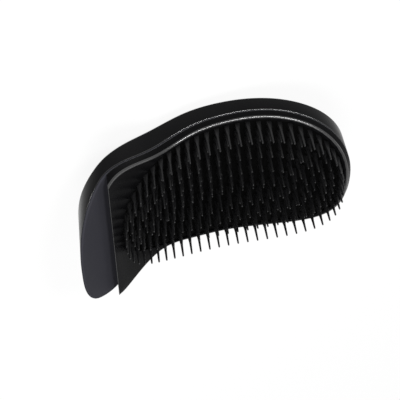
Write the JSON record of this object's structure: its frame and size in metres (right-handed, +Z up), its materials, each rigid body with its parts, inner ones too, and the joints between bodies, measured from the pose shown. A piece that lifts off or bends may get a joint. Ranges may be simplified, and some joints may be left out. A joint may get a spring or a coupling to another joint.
{
  "type": "hair brush",
  "caption": "Arched hair brush with a domed back shell, a stepped rim, a bed of long and short teeth set in rings, and a broad smooth grip tail.",
  "frame": {"origin": "centre of the small flat on the outside of the back shell, on which the brush lies", "axes": "+Z up out of the tooth bed, +X along the brush towards the tip, away from the grip tail, +Y across it"},
  "size_m": [0.141, 0.0772, 0.0542],
  "materials": {
    "shell_plastic": "semi-gloss black",
    "grip_plastic": "matte dark grey",
    "base_plastic": "semi-gloss black",
    "tooth_plastic": "satin black"
  },
  "bodies": {
    "root": {"back_shell": "shell_plastic", "base_plate": "grip_plastic", "rim": "base_plastic", "tooth_bed": "tooth_plastic", "long_teeth_ring_1": "tooth_plastic", "short_teeth_ring_2": "tooth_plastic", "long_teeth_ring_3": "tooth_plastic", "short_teeth_ring_4": "tooth_plastic", "long_teeth_ring_5": "tooth_plastic", "short_teeth_ring_6": "tooth_plastic", "long_teeth_ring_7": "tooth_plastic", "short_teeth_ring_8": "tooth_plastic"}
  },
  "joints": []
}
